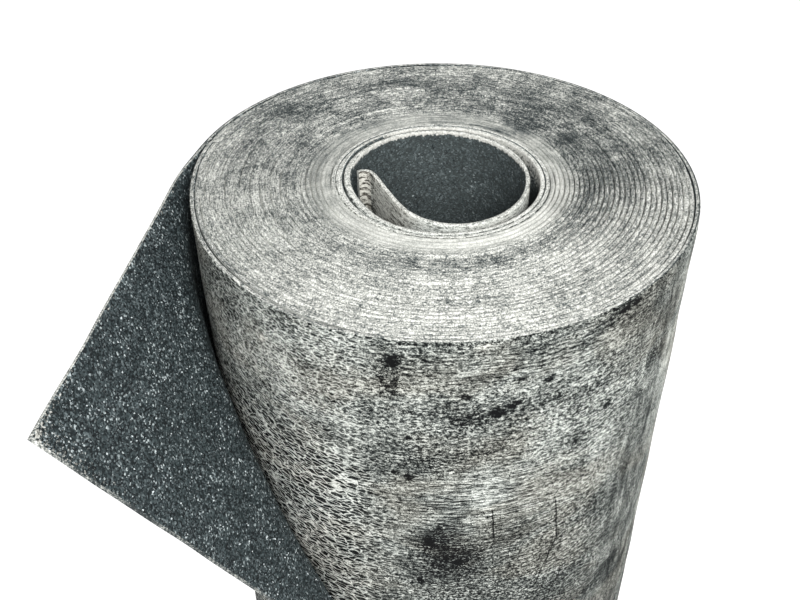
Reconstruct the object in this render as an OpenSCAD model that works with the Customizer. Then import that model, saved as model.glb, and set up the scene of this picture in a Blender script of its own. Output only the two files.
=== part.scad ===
// Roll of roofing felt, standing on its end.
// One bituminous sheet is wound round an open bore, with its dusted face outwards and its
// gritted face inwards. The top corner of the sheet's free end has sprung off the roll.
// Millimetres, +Z up, origin on the roll's axis at the bottom end.

/* [Roll] */
// Width of the sheet, which is the height of the standing roll
roll_w = 1000; // [700:10:1100]
// Diameter of the open bore
bore_d = 80; // [60:1:100]
// Thickness of the sheet with its grit, which is the pitch of the turns
felt_t = 2.2; // [1.5:0.1:3.5]
// Turns in the roll
turns = 32; // [20:1:40]

/* [Lines between the turns] */
// Width of the line between two turns, on both ends
line_w = 0.7; // [0.3:0.1:1]
// Depth of that line
line_d = 1; // [0.4:0.1:2]

/* [Loose corner] */
// Direction in which the top edge leaves the roll, in degrees
leave_a = 174; // [0:1:359]
// Part of the last turn that has come loose along the top edge, in degrees
loose_a = 87; // [60:1:95]
// Swing of the corner's lower part towards the roll, in degrees from upright
tilt_a = 25; // [20:1:35]

/* [Hidden] */
$fn = 128;
felt_colour = [0.66, 0.65, 0.62];
bore_r = bore_d / 2;
out_r = bore_r + turns * felt_t;
// The wound outline is four quarter arcs, each a quarter of a thickness closer in than the last
arc_step = felt_t / 4;
arc_r = out_r - arc_step / 2;
// The free end is cut square, so its foot is as far round the roll as the corner is long
end_a = leave_a + loose_a;
corner_l = (out_r - felt_t / 2) * loose_a * PI / 180;
// The corner's gritted face starts just inside the turn below it
bury = 0.3;
leave_r = out_r - felt_t * (1 + loose_a / 360) - bury;
// Where the free end comes back to the roll: along the top edge, down, and down the corner
foot_y = (out_r - felt_t) * sin(loose_a);
foot_drop = (leave_r - (out_r - felt_t) * cos(loose_a)) / tan(tilt_a);
foot_w = foot_drop / cos(tilt_a);
// The corner runs on into the roll past its foot
root = 0.06;
reach = 4 * out_r;

// Plan of the wound sheet, with its one step at the free end
module wound_outline()
    rotate(end_a)
        for (k = [0:3])
            rotate(-90 * k)
                translate([arc_step / 2, arc_step / 2])
                    intersection() {
                        circle(r = arc_r - k * arc_step);
                        translate([0, -reach])
                            square(reach);
                    }

// The lines between the turns on the upper end
module turn_lines()
    rotate_extrude()
        for (k = [1:turns - 2])
            translate([bore_r + k * felt_t, 0])
                polygon([
                    [0, -line_d],
                    [line_w / 2, 0],
                    [line_w / 2, 1],
                    [-line_w / 2, 1],
                    [-line_w / 2, 0]
                ]);

// The plane of the loose corner: x out of its gritted face, y along its top edge, z up it
module in_corner_plane()
    rotate(leave_a)
        translate([leave_r, 0, roll_w])
            rotate([0, tilt_a, 0])
                children();

// The last turn's place on the roll that the loose corner has left bare
module bared_turn()
    difference() {
        intersection() {
            in_corner_plane()
                translate([felt_t / 2 - reach, 0, -reach])
                    cube([reach, reach, reach + 20]);
            rotate(end_a)
                translate([-reach, arc_step / 2 - reach, -1])
                    cube([2 * reach, reach, roll_w + 2]);
        }
        rotate(end_a)
            translate([arc_step / 2, arc_step / 2, -2])
                cylinder(r = arc_r - felt_t, h = roll_w + 4);
    }

// The loose corner: one flat leaf of the sheet, straight along its top and along its cut end
module loose_corner()
    in_corner_plane()
        rotate([90, 0, 90])
            linear_extrude(felt_t)
                polygon([
                    [-2 * felt_t, 0],
                    [corner_l, 0],
                    [foot_y - root * (corner_l - foot_y), -foot_w * (1 + root)],
                    [-2 * felt_t, -4 * felt_t]
                ]);

// The wound sheet, all one piece
module felt_roll()
    color(felt_colour) {
        difference() {
            linear_extrude(roll_w)
                wound_outline();
            translate([0, 0, -1])
                cylinder(r = bore_r, h = roll_w + 2);
            translate([0, 0, roll_w])
                turn_lines();
            mirror([0, 0, 1])
                turn_lines();
            bared_turn();
        }
        loose_corner();
    }

felt_roll();
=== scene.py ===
# %% [markdown]
# # A roll of roofing felt, standing on its end
# Roofing felt is a sheet of bitumen, gritted on one face and dusted with talc on the other. This
# one is wound up with the dusted face outwards, and the top corner of its free end has sprung
# off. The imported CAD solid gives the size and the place, and everything here is built round it.
# The CAD box is kept, so that the finished visual can be held against it at the end.

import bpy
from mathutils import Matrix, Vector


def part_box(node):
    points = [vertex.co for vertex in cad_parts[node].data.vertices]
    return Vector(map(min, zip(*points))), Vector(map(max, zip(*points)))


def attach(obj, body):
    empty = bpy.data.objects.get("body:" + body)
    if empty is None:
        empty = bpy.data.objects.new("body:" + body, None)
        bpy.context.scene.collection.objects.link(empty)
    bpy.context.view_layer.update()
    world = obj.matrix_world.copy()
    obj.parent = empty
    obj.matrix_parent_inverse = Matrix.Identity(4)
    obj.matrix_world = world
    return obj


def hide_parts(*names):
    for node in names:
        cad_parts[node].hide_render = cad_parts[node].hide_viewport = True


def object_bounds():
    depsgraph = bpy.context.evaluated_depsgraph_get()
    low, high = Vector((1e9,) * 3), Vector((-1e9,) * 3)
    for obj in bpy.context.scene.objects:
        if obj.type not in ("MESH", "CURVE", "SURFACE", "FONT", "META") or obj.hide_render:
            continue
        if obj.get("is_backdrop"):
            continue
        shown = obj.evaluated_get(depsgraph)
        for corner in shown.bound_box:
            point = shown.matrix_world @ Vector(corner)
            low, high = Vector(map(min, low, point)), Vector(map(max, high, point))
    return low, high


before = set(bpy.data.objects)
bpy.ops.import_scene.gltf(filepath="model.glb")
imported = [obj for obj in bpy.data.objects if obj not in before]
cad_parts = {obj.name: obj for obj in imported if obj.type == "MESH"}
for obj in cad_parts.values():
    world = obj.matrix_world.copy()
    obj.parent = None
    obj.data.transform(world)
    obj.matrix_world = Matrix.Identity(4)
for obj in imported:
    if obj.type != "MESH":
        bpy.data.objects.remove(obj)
cad_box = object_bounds()
print("CAD box in metres:", [list(corner) for corner in cad_box])

# %% [markdown]
# ## Sizes
# The sizes are those of the part's source: the sheet's thickness is the pitch of the turns, and
# the free end is 87 degrees past the place where the top edge leaves the roll. Angles are
# counted along the sheet and not round the clock, so that each turn has its own numbers: the
# free end is at 261 degrees, and the same place one turn further in is at -99. What was measured
# in the photograph is a share of the rim's radius there, SEEN_R.

# %% Sizes
import math

import bpy
import numpy as np
from mathutils import Matrix, Vector

MM = 0.001
FELT_T = 2.2 * MM
OUT_R = 110.4 * MM
SEEN_R = 109.3 * MM
ROLL_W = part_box("felt_roll")[1][2]
FREE_END = 261.0


def wound_radius(angle):
    """Radius of the sheet's middle at an angle along it: one thickness less for each turn inwards."""
    return OUT_R - FELT_T / 2 - FELT_T * (FREE_END - angle) / 360


print("roll", round(ROLL_W, 3), "m tall, free end at radius", round(wound_radius(FREE_END), 4))

# %% [markdown]
# ## The camera
# The photograph looks down on the roll from close by, which gives the strong perspective. A camera
# can be aimed at a point, but a photograph is also a little askew, so this one is placed by its
# own three axes, measured from the roll's rim and bore in the picture.

# %% The camera
EYE = Vector((0.0, -3.25506, 2.00003)) * SEEN_R + Vector((0, 0, ROLL_W))
RIGHT = Vector((0.999216, 0.036562, -0.015192))
UP = Vector((-0.011151, 0.628050, 0.778093))
BACK = Vector((0.037989, -0.777314, 0.627965))
FOCAL_PX, PICTURE_PX = 968.834, 800
SENSOR_MM = 36.0
lens = bpy.data.cameras.new("photo_view")
lens.sensor_fit = "HORIZONTAL"
lens.sensor_width = SENSOR_MM
lens.lens = FOCAL_PX * SENSOR_MM / PICTURE_PX
lens.clip_start = 0.01
camera = bpy.data.objects.new("photo_view", lens)
bpy.context.scene.collection.objects.link(camera)
axes = Matrix((RIGHT, UP, BACK)).transposed().to_4x4()
camera.matrix_world = Matrix.Translation(EYE) @ axes
bpy.context.scene.camera = camera
bpy.context.scene.view_settings.view_transform = "Standard"
print("camera at", [round(v, 3) for v in EYE], "lens", round(lens.lens, 2), "mm")

# %% [markdown]
# ## Helpers for nodes
# A finish is a tree of nodes, and the trees below are long. Each helper adds one node or a few and
# returns the output, so that a finish reads like a sum: noise, stretched, mixed and turned into
# tones. Colours are written as a picture shows them and changed to the linear ones of a socket.

# %% Helpers for numbers and places


def put(tree, kind, links=None, **settings):
    """Adds a node, sets its options, and gives its sockets a value or a link."""
    node = tree.nodes.new(kind)
    for key, value in settings.items():
        setattr(node, key, value)
    for key, value in (links or {}).items():
        if isinstance(value, bpy.types.NodeSocket):
            tree.links.new(value, node.inputs[key])
        else:
            node.inputs[key].default_value = value
    return node


def number(tree, operation, first, second=0.0):
    """One sum of two numbers or outputs."""
    return put(tree, "ShaderNodeMath", {0: first, 1: second}, operation=operation).outputs[0]


def vector(tree, operation, first, second):
    """One sum of two vectors or outputs."""
    return put(tree, "ShaderNodeVectorMath", {0: first, 1: second}, operation=operation).outputs[0]


def spread(tree, value, low, high, to_low=0.0, to_high=1.0):
    """Stretches the range low..high to another one and cuts off what is outside."""
    links = {"Value": value, "From Min": low, "From Max": high, "To Min": to_low, "To Max": to_high}
    return put(tree, "ShaderNodeMapRange", links).outputs[0]


def mixed(tree, share, first, second):
    """Mixes two numbers, by a share from 0 to 1."""
    return put(tree, "ShaderNodeMix", {0: share, 2: first, 3: second}).outputs[0]


def layered(tree, layers, less=0.0):
    """Adds up layers of (value, weight) and takes a fixed number off."""
    total = None
    for value, weight in layers:
        part = number(tree, "MULTIPLY", value, weight)
        total = part if total is None else number(tree, "ADD", total, part)
    return number(tree, "SUBTRACT", total, less)


def speckle(tree, where, sizes, detail=2.0, rough=0.5, twist=0.0):
    """Noise whose grains have the given sizes in metres along each axis of where."""
    cells = vector(tree, "MULTIPLY", where, [1 / size for size in sizes])
    links = {"Vector": cells, "Scale": 1.0, "Detail": detail, "Roughness": rough, "Distortion": twist}
    return put(tree, "ShaderNodeTexNoise", links).outputs["Fac"]


def stirred(tree, where, size, reach, detail=1.0, rough=0.5):
    """Places shifted by noise: place + (noise - 0.5) * reach, with grains of the given size."""
    links = {"Vector": where, "Scale": 1 / size, "Detail": detail, "Roughness": rough}
    noise = put(tree, "ShaderNodeTexNoise", links).outputs["Color"]
    shift = vector(tree, "MULTIPLY", vector(tree, "SUBTRACT", noise, [0.5] * 3), [reach] * 3)
    return vector(tree, "ADD", where, shift)


def kept(tree, name):
    """A number that is kept at the points of the mesh."""
    return put(tree, "ShaderNodeAttribute", attribute_name=name).outputs["Fac"]


print("number helpers ready")

# %% Helpers for colours


def linear(red, green, blue):
    """A colour as a picture shows it, 0 to 255, as the linear colour that a socket takes."""
    shown = np.array([red, green, blue]) / 255
    light = np.where(shown <= 0.04045, shown / 12.92, ((shown + 0.055) / 1.055) ** 2.4)
    return (*light.tolist(), 1.0)


def tones(tree, value, stops):
    """A colour ramp: a list of (place from 0 to 1, colour as a picture shows it)."""
    ramp = put(tree, "ShaderNodeValToRGB", {"Fac": value})
    marks = ramp.color_ramp.elements
    while len(marks) < len(stops):
        marks.new(0.5)
    for mark, (place, colour) in zip(marks, stops):
        mark.position = place
        mark.color = linear(*colour)
    return ramp.outputs["Color"]


def blend(tree, share, first, second):
    """Mixes two colours, by a share from 0 to 1."""
    links = {0: share, 6: first, 7: second}
    return put(tree, "ShaderNodeMix", links, data_type="RGBA").outputs[2]


def new_finish(name, rough, gloss=0.25):
    """A material with a Principled shader, returned with its tree and shader."""
    material = bpy.data.materials.new(name)
    material.use_nodes = True
    tree = material.node_tree
    shader = tree.nodes["Principled BSDF"]
    shader.inputs["Roughness"].default_value = rough
    shader.inputs["Specular IOR Level"].default_value = gloss
    return material, tree, shader


def dress(tree, shader, colour, height, strength, distance, sunk=False):
    """Gives the shader its colour, and a bump from a height; sunk turns the bump inside out."""
    tree.links.new(colour, shader.inputs["Base Color"])
    links = {"Height": height, "Strength": strength, "Distance": distance}
    bump = put(tree, "ShaderNodeBump", links, invert=sunk)
    tree.links.new(bump.outputs[0], shader.inputs["Normal"])


print("a picture's mid grey on a socket:", [round(part, 3) for part in linear(128, 128, 128)])

# %% [markdown]
# ## Floor and light
# The photograph is cut out on white and softly lit. A white backdrop could be drawn in afterwards,
# but here the floor is a wide pale sheet that glows a little, under an even sky. Two broad lamps
# stand behind the camera: a large one at the right, and a smaller one that reaches into the bore.

# %% Floor and light
FLOOR_HALF = 80.0
FLOOR_WHITE, FLOOR_GLOW, SKY_LIGHT = 0.93, 0.5, 0.6
# Name, place in metres, width in metres and watts
LAMPS = [
    ("soft_lamp", (0.4, -0.95, 2.15), 1.0, 12.0),
    ("front_lamp", (0.05, -0.95, 1.64), 0.45, 10.0),
]
corners = np.array([[-1, -1, 0], [1, -1, 0], [1, 1, 0], [-1, 1, 0]]) * FLOOR_HALF
floor_mesh = bpy.data.meshes.new("studio_floor")
floor_mesh.from_pydata(corners, [], [[0, 1, 2, 3]])
floor = bpy.data.objects.new("studio_floor", floor_mesh)
bpy.context.scene.collection.objects.link(floor)
pale_floor, _, floor_shader = new_finish("pale_floor", 0.9, 0.0)
floor_shader.inputs["Base Color"].default_value = (FLOOR_WHITE, FLOOR_WHITE, FLOOR_WHITE, 1)
floor_shader.inputs["Emission Color"].default_value = (1, 1, 1, 1)
floor_shader.inputs["Emission Strength"].default_value = FLOOR_GLOW
floor_mesh.materials.append(pale_floor)
floor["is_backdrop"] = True

sky = bpy.data.worlds.new("studio_sky")
sky.use_nodes = True
sky_shader = sky.node_tree.nodes["Background"]
sky_shader.inputs["Color"].default_value = (1, 1, 1, 1)
sky_shader.inputs["Strength"].default_value = SKY_LIGHT
bpy.context.scene.world = sky
for name, place, size, watts in LAMPS:
    lamp_data = bpy.data.lights.new(name, "AREA")
    lamp_data.size = size
    lamp_data.energy = watts
    lamp = bpy.data.objects.new(name, lamp_data)
    bpy.context.scene.collection.objects.link(lamp)
    aim = Vector((0, 0, ROLL_W)) - Vector(place)
    turned = aim.to_track_quat("-Z", "Y").to_matrix().to_4x4()
    lamp.matrix_world = Matrix.Translation(place) @ turned
    print(name, round(aim.length, 2), "m from the roll's end")

# %% [markdown]
# ## The dusted face: its texture
# Talc keeps the turns from sticking. Where a turn was peeled off the one below, the bitumen pulled
# the talc into a net of short ridges. Elsewhere it lies in crumbs, or in streaks along the sheet,
# and at the right it is rubbed into soft smears. An image of felt could be wrapped round, but
# noise on the sheet's flat plan in metres gives every grain its real size. Numbers kept at the
# mesh's points say which texture shows where.

# %% The dusted face's texture
# Each noise: millimetres along the sheet, millimetres up it, detail, roughness and twist
TALC_NOISE = {
    "long": (16, 1.0, 2.0, 0.6, 0.3),
    "short": (3.6, 0.9, 2.0, 0.62, 0.3),
    "blotch": (22, 12, 6.0, 0.68, 0.5),
    "smear": (5, 26, 4.0, 0.66, 0.4),
    "crumb": (2.0, 1.3, 3.0, 0.7, 0.0),
    "speck": (1.2, 0.9, 2.0, 0.6, 0.6),
    "grain": (0.6, 0.5, 1.0, 0.5, 0.0),
    "patch": (110, 70, 2.0, 0.5, 0.5),
    "tint": (50, 30, 3.0, 0.6, 0.5),
    "painted_crease_shade": (9, 1.5, 1.0, 0.5, 0.4),
}
SWAY_SIZE, SWAY = 4 * MM, 3.0 * MM
FINE_CELL, WIDE_CELL = (3.0 * MM, 1.3 * MM, 1), (5.0 * MM, 1.7 * MM, 1)
FINE_TO, WIDE_FROM = ROLL_W - 35 * MM, ROLL_W - 75 * MM


def sheet_noise(tree, flat, table):
    """One noise on the sheet's flat plan for each row of a table."""
    rows = table.items()
    return {key: speckle(tree, flat, (u * MM, v * MM, 1), *rest) for key, (u, v, *rest) in rows}


def ridges(tree, flat, sizes, thin, thick):
    """A net of ridges: 1 on the borders of Voronoi cells of the given sizes, 0 inside them."""
    cells = vector(tree, "MULTIPLY", stirred(tree, flat, SWAY_SIZE, SWAY), [1 / size for size in sizes])
    links = {"Vector": cells, "Scale": 1.0}
    border = put(tree, "ShaderNodeTexVoronoi", links, feature="DISTANCE_TO_EDGE")
    return spread(tree, border.outputs["Distance"], thin, thick, 1.0, 0.0)


def talc_net(tree, flat, short):
    """The net of ridges: fine near the top edge, wider lower down, with short streaks mixed in."""
    height = put(tree, "ShaderNodeSeparateXYZ", {0: flat}).outputs["Y"]
    low = spread(tree, height, WIDE_FROM, FINE_TO, 1.0, 0.0)
    fine_net = ridges(tree, flat, FINE_CELL, 0.05, 0.17)
    wide_net = ridges(tree, flat, WIDE_CELL, 0.04, 0.15)
    return mixed(tree, 0.2, mixed(tree, low, fine_net, wide_net), short)


def talc_texture(tree, flat, noise):
    """Crumbs or streaks by comb, then the net by net, then smears by worn; and the net's thickness."""
    short = spread(tree, noise["short"], 0.45, 0.54)
    streaks = mixed(tree, 0.5, spread(tree, noise["long"], 0.46, 0.53), short)
    texture = mixed(tree, kept(tree, "comb"), spread(tree, noise["crumb"], 0.43, 0.57), streaks)
    net = talc_net(tree, flat, short)
    netted = kept(tree, "net")
    texture = mixed(tree, netted, texture, net)
    texture = mixed(tree, kept(tree, "worn"), texture, spread(tree, noise["smear"], 0.2, 0.75))
    thickness = number(tree, "MULTIPLY", number(tree, "SUBTRACT", net, 0.5), netted)
    return texture, thickness


print("talc:", len(TALC_NOISE), "noises")

# %% [markdown]
# ## The dusted face: cracks and bare spots
# A few fine cracks run down the front, and black spots show where the talc has come off. They
# have their own places in the photograph, so they are drawn by formula on the flat plan: a crack
# is a wavering line, and a spot is an oval with a crumbled outline.

# %% Cracks and bare spots
# Each crack: degrees round the roll, millimetres below the top, millimetres tall, and its lean
CRACKS = [
    (296.8, 91, 32, 0.11), (298.7, 119, 34, -0.27), (282.2, 89, 22, 0.10), (302.4, 140, 26, -0.32),
]
CRACK_CORE, CRACK_EDGE = 0.12 * MM, 0.45 * MM
CRACK_WAVER, CRACK_WAVE, CRACK_FADE = 4 * MM, 14 * MM, 4 * MM
# Each spot: degrees round the roll, millimetres below the top, half width and half height in them
BARE_SPOTS = [
    (261.7, 9.7, 3.6, 3.6), (259.6, 18.6, 1.3, 1.9), (260.6, 22.2, 1.5, 1.2), (262.1, 20.0, 1.4, 2.2),
    (262.0, 24.6, 1.5, 1.3), (259.9, 25.4, 1.0, 1.1), (264.6, 69.6, 1.8, 2.3), (261.6, 67.6, 1.1, 1.2),
    (282.0, 35.6, 3.0, 2.4), (284.6, 33.2, 2.2, 1.4), (286.0, 31.8, 1.8, 1.2), (275.7, 25.8, 2.3, 1.4),
    (286.4, 20.5, 2.1, 1.7), (292.1, 23.4, 2.6, 1.7), (290.1, 16.1, 1.4, 1.1), (307.7, 50.4, 2.4, 2.2),
    (308.6, 3.6, 3.0, 1.6), (312.0, 2.9, 2.4, 1.8), (269.1, 109.1, 2.0, 2.6), (272.6, 119.5, 1.4, 1.8),
    (275.4, 123.0, 2.0, 2.4), (271.0, 100.0, 1.2, 1.4), (265.1, 33.9, 1.2, 1.0),
    (264.6, 47.7, 1.5, 1.1), (294.6, 33.9, 1.6, 1.2), (300.3, 63.2, 1.3, 1.6), (266.9, 135.7, 1.8, 2.2),
]
CRUMBLE_SIZE, CRUMBLE = 1.6 * MM, 5.5 * MM


def sheet_length(angle):
    """Length along the sheet, in metres, at an angle round the roll's front."""
    return math.radians(angle - 360) * wound_radius(0.0)


def crack(tree, along, height, start, depth, tall, lean):
    """A thin wavering line down the sheet: 1 on it and 0 beside it."""
    down = number(tree, "SUBTRACT", ROLL_W - depth * MM, height)
    middle = number(tree, "ADD", number(tree, "MULTIPLY", down, lean), sheet_length(start))
    spot = put(tree, "ShaderNodeCombineXYZ", {0: middle, 1: height}).outputs[0]
    waver = number(tree, "SUBTRACT", speckle(tree, spot, (CRACK_WAVE, CRACK_WAVE, 1)), 0.5)
    middle = number(tree, "ADD", middle, number(tree, "MULTIPLY", waver, CRACK_WAVER))
    off = number(tree, "ABSOLUTE", number(tree, "SUBTRACT", along, middle))
    half = tall / 2 * MM
    from_middle = number(tree, "ABSOLUTE", number(tree, "SUBTRACT", down, half))
    within = spread(tree, from_middle, half, half - CRACK_FADE)
    return number(tree, "MULTIPLY", spread(tree, off, CRACK_CORE, CRACK_EDGE, 1.0, 0.0), within)


def bared(tree, flat):
    """Bare black spots: 1 inside ovals whose outline is crumbled by noise, 0 outside."""
    place = stirred(tree, flat, CRUMBLE_SIZE, CRUMBLE, 3.0, 0.7)
    place = vector(tree, "MULTIPLY", place, (1, 1, 0))
    total = None
    for angle, depth, wide, tall in BARE_SPOTS:
        off = vector(tree, "SUBTRACT", place, (sheet_length(angle), ROLL_W - depth * MM, 0))
        off = vector(tree, "MULTIPLY", off, (1 / (wide * MM), 1 / (tall * MM), 0))
        far = put(tree, "ShaderNodeVectorMath", {0: off}, operation="LENGTH").outputs["Value"]
        inside = spread(tree, far, 0.6, 1.2, 1.0, 0.0)
        total = inside if total is None else number(tree, "MAXIMUM", total, inside)
    return total


print(len(CRACKS), "cracks and", len(BARE_SPOTS), "bare spots")

# %% [markdown]
# ## The dusted face: its colour
# All layers are added up to one number, how much talc covers the bitumen, with painted shade in the
# lip's creases and a few patches of painted light and shade among the stains. That number is then
# turned into tones, from black bitumen to nearly white talc, and it also drives the bump, so that
# light and relief agree. Patches are a little warmer, and the curled inner lip is cream.

# %% The dusted face
TALC_TONES = [
    (0.0, (12, 14, 15)), (0.22, (74, 79, 77)), (0.45, (134, 138, 133)),
    (0.70, (192, 196, 190)), (1.0, (232, 235, 229)),
]
WARM_TONES = [
    (0.0, (16, 15, 13)), (0.45, (136, 135, 126)), (0.70, (192, 192, 183)), (1.0, (232, 231, 223)),
]
CREAM_TONES = [(0.0, (84, 81, 75)), (0.3, (152, 149, 140)), (0.6, (230, 228, 218))]


def talc_cover(tree, flat, noise):
    """Cover = texture + blotches + crumbs + net's thickness - bare spots - stains with painted light and
    shade - cracks - painted shade in creases.
    """
    texture, thickness = talc_texture(tree, flat, noise)
    blotch, speck = noise["blotch"], noise["speck"]
    grain = spread(tree, noise["grain"], 0.42, 0.58)
    bare = number(tree, "MULTIPLY", bared(tree, flat), spread(tree, speck, 0.42, 0.64, 0.66, 0.3))
    # The stain mark holds real stains, and also painted shade under the corner's foot and painted light
    # along the roll's right edge.
    stain_and_painted_light = kept(tree, "stain_and_painted_light")
    ragged = layered(tree, [(blotch, 0.8), (speck, 3.0), (stain_and_painted_light, 1.0)], 1.9)
    ragged = spread(tree, ragged, 0.40, 0.47)
    in_dark_mark = spread(tree, stain_and_painted_light, 0.06, 0.25, 0.0, 0.45)
    fleck = number(tree, "MULTIPLY", spread(tree, speck, 0.60, 0.66), in_dark_mark)
    # Painted shade in the creases of the curled lip: dark lines from noise, where the mesh marks cream.
    painted_crease_shade = spread(tree, noise["painted_crease_shade"], 0.42, 0.49, 0.6, 0.0)
    painted_crease_shade = number(tree, "MULTIPLY", painted_crease_shade, kept(tree, "cream"))
    layers = [
        (texture, 0.70), (blotch, 1.10), (noise["patch"], 0.5), (noise["smear"], 0.3),
        (noise["crumb"], 0.45), (grain, 0.26), (thickness, 0.36), (bare, -1.0),
        (stain_and_painted_light, -0.34), (ragged, -0.75), (fleck, 1.0), (painted_crease_shade, -1.0),
    ]
    split = put(tree, "ShaderNodeSeparateXYZ", {0: flat}).outputs
    layers += [(crack(tree, split["X"], split["Y"], *place), -0.5) for place in CRACKS]
    return layered(tree, layers, 1.34)


def dusted_finish():
    """Talc on bitumen: the cover as tones, warmer in patches, and cream where the mesh says so."""
    material, tree, shader = new_finish("dusted_face", 0.9, 0.1)
    flat = put(tree, "ShaderNodeUVMap", uv_map="felt_flat").outputs["UV"]
    noise = sheet_noise(tree, flat, TALC_NOISE)
    cover = talc_cover(tree, flat, noise)
    warmth = spread(tree, noise["tint"], 0.45, 0.62, 0.0, 0.6)
    colour = blend(tree, warmth, tones(tree, cover, TALC_TONES), tones(tree, cover, WARM_TONES))
    colour = blend(tree, kept(tree, "cream"), colour, tones(tree, cover, CREAM_TONES))
    dress(tree, shader, colour, cover, 0.6, 0.5 * MM)
    return material


dusted_face = dusted_finish()
print("dusted face:", len(dusted_face.node_tree.nodes), "nodes")

# %% [markdown]
# ## The gritted face
# The other face carries fine slate grit pressed into the bitumen: nearly black, a little blue,
# with single pale grains whose white stands in for glints, partly their own colour and partly a
# painted glint. The finish draws the small grains, and the larger ones are added later as real
# chips, so that the face has a rough outline too. In the bore the grit is dusty, which makes its
# grains more alike and lighter, partly dust and partly painted light against the bore's shade, and
# along the edges talc clings to it.

# %% The gritted face
GRAIN_SIZE, CLOUD_SIZE, CHALK_SIZE = 0.75 * MM, 12 * MM, 1.3 * MM
# The two palest stops are single pale grains: partly their own colour, partly a painted glint.
GRIT_TONES = [
    (0.0, (17, 22, 24)), (0.5, (38, 47, 49)), (0.8, (70, 81, 83)),
    (0.94, (108, 118, 120)), (1.0, (182, 192, 193)),
]
CHALK_TONES = [(0.0, (140, 140, 134)), (0.4, (196, 196, 189)), (1.0, (228, 228, 222))]
# A grey that the dust mark blends into the grit: real dust, and in the bore also painted light.
BORE_DUST_AND_LIGHT_GREY = linear(106, 112, 110)


def gritted_finish():
    """Slate grit in bitumen: each cell of a Voronoi pattern is a grain with a shade of its own."""
    material, tree, shader = new_finish("gritted_face", 0.75)
    place = put(tree, "ShaderNodeTexCoord").outputs["Object"]
    cells = put(tree, "ShaderNodeTexVoronoi", {"Vector": place, "Scale": 1 / GRAIN_SIZE})
    shade = put(tree, "ShaderNodeSeparateColor", {0: cells.outputs["Color"]}).outputs[0]
    cloud = speckle(tree, place, [CLOUD_SIZE] * 3, 3.0, 0.6)
    shade = layered(tree, [(shade, 1.0), (number(tree, "SUBTRACT", cloud, 0.5), 0.45)])
    # The dust mark greys the grit and lifts its dark grains: real dust, and in the bore also painted light
    # that offsets the shade inside the bore.
    dust = kept(tree, "dust")
    shade = mixed(tree, dust, shade, spread(tree, shade, 0.0, 1.0, 0.5, 0.9))
    colour = tones(tree, shade, GRIT_TONES)
    colour = blend(tree, number(tree, "MULTIPLY", dust, 0.5), colour, BORE_DUST_AND_LIGHT_GREY)
    crumb = speckle(tree, place, [CHALK_SIZE] * 3, 2.0, 0.6)
    crumb = number(tree, "SUBTRACT", crumb, 0.5)
    chalk = spread(tree, layered(tree, [(kept(tree, "chalk"), 1.0), (crumb, 1.6)]), 0.38, 0.60)
    colour = blend(tree, chalk, colour, tones(tree, shade, CHALK_TONES))
    dress(tree, shader, colour, cells.outputs["Distance"], 0.5, 0.4 * MM, sunk=True)
    return material


gritted_face = gritted_finish()
print("gritted face:", len(gritted_face.node_tree.nodes), "nodes")

# %% [markdown]
# ## The cut edges
# On the roll's ends the sheet's cut edges lie side by side. Talc and grey dust fill them, rubbed
# along the turns, and at the back the dust has gone and the dark bitumen shows. The flat plan
# here is the length along the sheet by the radius, so streaks follow each turn.

# %% The cut edges
# Each noise: millimetres along the turn, millimetres across it, detail, roughness and twist
EDGE_NOISE = {
    "streak": (3.4, 0.6, 2.0, 0.6, 0.2),
    "band": (60, 2.4, 2.0, 0.5, 0.0),
    "broken": (7, 2.2, 3.0, 0.6, 0.2),
}
CRUMB_SIZE, DUST_SIZE, MOTTLE_SIZE = 1.4 * MM, 0.55 * MM, 13 * MM
EDGE_TONES = [
    (0.0, (44, 50, 51)), (0.25, (98, 103, 102)), (0.5, (150, 152, 147)),
    (0.75, (198, 199, 193)), (1.0, (232, 233, 227)),
]


def cut_edge_finish():
    """Dust on cut bitumen: cover = streaks along the turn + mottling - bared places and a painted shade
    outline - the line between turns.
    """
    material, tree, shader = new_finish("cut_edges", 0.9)
    flat = put(tree, "ShaderNodeUVMap", uv_map="felt_flat").outputs["UV"]
    place = put(tree, "ShaderNodeTexCoord").outputs["Object"]
    noise = sheet_noise(tree, flat, EDGE_NOISE)
    streak = spread(tree, noise["streak"], 0.43, 0.56)
    crumb = spread(tree, speckle(tree, place, [CRUMB_SIZE] * 3, 3.0, 0.7), 0.38, 0.62)
    grain = spread(tree, speckle(tree, place, [DUST_SIZE] * 3, 1.0, 0.5), 0.38, 0.62)
    cloud = speckle(tree, place, [MOTTLE_SIZE] * 3, 5.0, 0.66, 0.6)
    texture = layered(tree, [(streak, 0.28), (crumb, 0.26), (grain, 0.48)], 0.51)
    texture = number(tree, "MULTIPLY", texture, spread(tree, kept(tree, "calm"), 0.0, 1.0, 1.0, 0.35))
    # The soot mark also holds a painted shade outline along the last turn's outer top edge.
    soot_and_shade = number(tree, "MULTIPLY", kept(tree, "soot_and_shade"), spread(tree, cloud, 0.3, 0.65, 1.4, 0.6))
    broken = spread(tree, noise["broken"], 0.42, 0.58, 0.0, 0.5)
    line = number(tree, "MULTIPLY", spread(tree, kept(tree, "line"), 0.35, 0.95), broken)
    layers = [(texture, 1.0), (noise["band"], 0.6), (cloud, 0.62), (soot_and_shade, -1.0), (line, -1.0)]
    cover = layered(tree, layers, -0.01)
    dress(tree, shader, tones(tree, cover, EDGE_TONES), cover, 0.5, 0.4 * MM)
    return material


cut_edges = cut_edge_finish()
print("cut edges:", len(cut_edges.node_tree.nodes), "nodes")

# %% [markdown]
# ## From arrays to a piece
# Every shape below is worked out as whole arrays: points, faces by their corners, the flat plan
# at each corner, and numbers such as stains at each point. One helper turns them into a mesh, and
# another puts it into the scene at the origin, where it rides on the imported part's body.

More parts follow.
